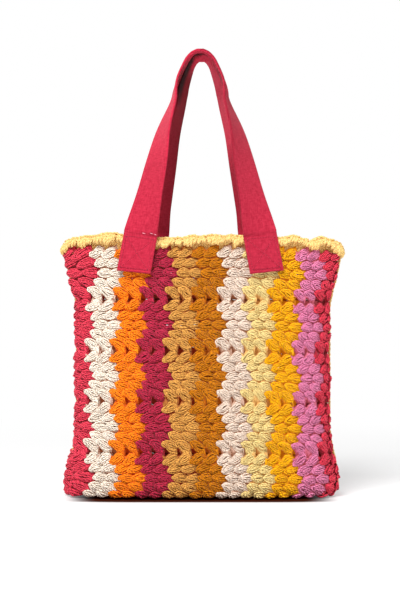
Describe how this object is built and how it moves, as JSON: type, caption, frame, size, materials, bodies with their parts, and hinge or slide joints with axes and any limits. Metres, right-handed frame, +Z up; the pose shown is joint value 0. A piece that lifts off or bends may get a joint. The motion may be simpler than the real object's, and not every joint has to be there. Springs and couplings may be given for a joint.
{
  "type": "crochet tote bag",
  "caption": "Striped puff-stitch crochet tote bag with a flat base, side seams, a crocheted rim and two canvas shoulder straps.",
  "frame": {"origin": "on the floor, under the middle of the bag", "axes": "+Z up towards the handles, -Y out of the front face, +X to the right as the front is looked at"},
  "size_m": [0.3926, 0.113, 0.6352],
  "materials": {
    "yarn_red_left": "matte cotton yarn",
    "yarn_ivory": "matte cotton yarn",
    "yarn_orange": "matte cotton yarn",
    "yarn_magenta": "matte cotton yarn",
    "yarn_tan": "matte cotton yarn",
    "yarn_mustard": "matte cotton yarn",
    "yarn_cream": "matte cotton yarn",
    "yarn_lemon": "matte cotton yarn",
    "yarn_yellow": "matte cotton yarn",
    "yarn_pink": "matte cotton yarn",
    "yarn_red_right": "matte cotton yarn",
    "yarn_edging": "matte cotton yarn",
    "canvas": "matte cotton canvas"
  },
  "bodies": {
    "root": {"stripe_red_left": "yarn_red_left", "stripe_ivory": "yarn_ivory", "stripe_orange": "yarn_orange", "stripe_magenta": "yarn_magenta", "stripe_tan": "yarn_tan", "stripe_mustard": "yarn_mustard", "stripe_cream": "yarn_cream", "stripe_lemon": "yarn_lemon", "stripe_yellow": "yarn_yellow", "stripe_pink": "yarn_pink", "stripe_red_right": "yarn_red_right", "rim_edging": "yarn_edging", "seam_left": "yarn_edging", "seam_right": "yarn_edging", "strap_front": "canvas", "strap_back": "canvas"}
  },
  "joints": []
}
